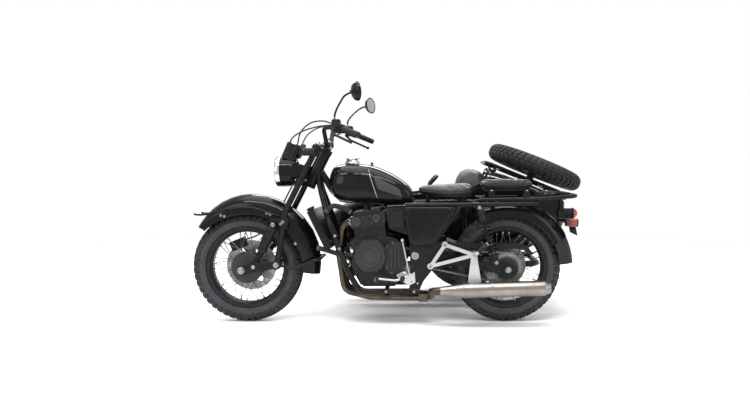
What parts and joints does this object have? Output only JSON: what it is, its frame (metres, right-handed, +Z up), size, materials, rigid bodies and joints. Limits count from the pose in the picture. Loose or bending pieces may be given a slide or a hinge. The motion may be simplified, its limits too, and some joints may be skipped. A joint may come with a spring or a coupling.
{
  "type": "motorcycle with sidecar",
  "caption": "Road motorcycle with a leading-link fork, wire wheels and an open sidecar on its right, whose trunk lid carries a rack and a spare wheel.",
  "frame": {"origin": "middle of the bounding box on the floor", "axes": "+X forward, +Y to the left, +Z up"},
  "size_m": [2.4152, 1.5906, 1.362],
  "materials": {
    "gloss_black": "gloss black paint",
    "satin_black": "satin black powder coat",
    "engine_black": "dark grey crackle coat on cast alloy",
    "alloy": "satin cast alloy",
    "stainless": "brushed stainless with warm heat tint",
    "chrome_cap": "polished plate",
    "seat": "black seat cover",
    "rubber": "matt black",
    "tyre": "matt black",
    "black_plastic": "grained black",
    "lens_clear": "clear fluted",
    "lens_red": "translucent red",
    "lens_amber": "translucent amber",
    "wheel_black": "black rim and hub, bright spokes"
  },
  "bodies": {
    "chassis": {"frame": "satin_black", "engine": "engine_black", "airbox": "black_plastic", "radiator": "satin_black", "exhaust_headers": "stainless", "silencer": "stainless", "fuel_tank": "gloss_black", "filler_cap": "chrome_cap", "side_panels": "gloss_black", "rider_saddle": "seat", "pillion_pad": "seat", "seat_mounts": "satin_black", "rear_fender": "gloss_black", "rear_flap": "black_plastic", "rear_rack": "satin_black", "tail_lamp": "black_plastic", "tail_lens": "lens_red", "swingarm": "satin_black", "rear_shocks": "satin_black", "drive_chain": "stainless", "chain_guard": "black_plastic", "foot_controls": "alloy", "pillion_pegs": "alloy", "sidecar_frame": "satin_black", "sidecar_struts": "satin_black", "sidecar_stays": "satin_black", "sidecar_tub": "gloss_black", "sidecar_nose": "gloss_black", "sidecar_bulkhead": "satin_black", "sidecar_seat": "seat", "sidecar_grab_rail": "satin_black", "sidecar_fender": "gloss_black", "sidecar_swingarm": "satin_black", "sidecar_lamps": "lens_amber"},
    "steering": {"fork": "satin_black", "fork_links": "satin_black", "front_fender": "gloss_black", "headlamp": "gloss_black", "headlamp_ring": "chrome_cap", "headlamp_lens": "lens_clear", "front_indicators": "lens_amber", "handlebar": "satin_black", "grips": "rubber", "hand_controls": "black_plastic", "mirrors": "gloss_black", "control_cables": "rubber"},
    "front_wheel_set": {"front_tyre": "tyre", "front_wheel": "wheel_black"},
    "rear_wheel_set": {"rear_tyre": "tyre", "rear_wheel": "wheel_black"},
    "sidecar_wheel_set": {"sidecar_tyre": "tyre", "sidecar_wheel": "wheel_black"},
    "lid_set": {"trunk_lid": "gloss_black", "lid_rack": "satin_black", "spare_tyre": "tyre", "spare_wheel": "wheel_black"}
  },
  "joints": [
    {"name": "steering", "type": "hinge", "parent": "chassis", "child": "steering", "pos_m": [0.43384, 0.352, 0.962], "axis": [-0.454, 0, 0.891], "range_deg": [-35, 35]},
    {"name": "front_wheel_spin", "type": "hinge", "parent": "steering", "child": "front_wheel_set", "pos_m": [0.884, 0.352, 0.325], "axis": [0, 1, 0], "continuous": true},
    {"name": "rear_wheel_spin", "type": "hinge", "parent": "chassis", "child": "rear_wheel_set", "pos_m": [-0.641, 0.352, 0.325], "axis": [0, 1, 0], "continuous": true},
    {"name": "sidecar_wheel_spin", "type": "hinge", "parent": "chassis", "child": "sidecar_wheel_set", "pos_m": [-0.466, -0.708, 0.325], "axis": [0, 1, 0], "continuous": true},
    {"name": "trunk_lid_hinge", "type": "hinge", "parent": "chassis", "child": "lid_set", "pos_m": [-0.585, -0.213, 0.898], "axis": [0, 1, 0], "range_deg": [0, 55]}
  ]
}
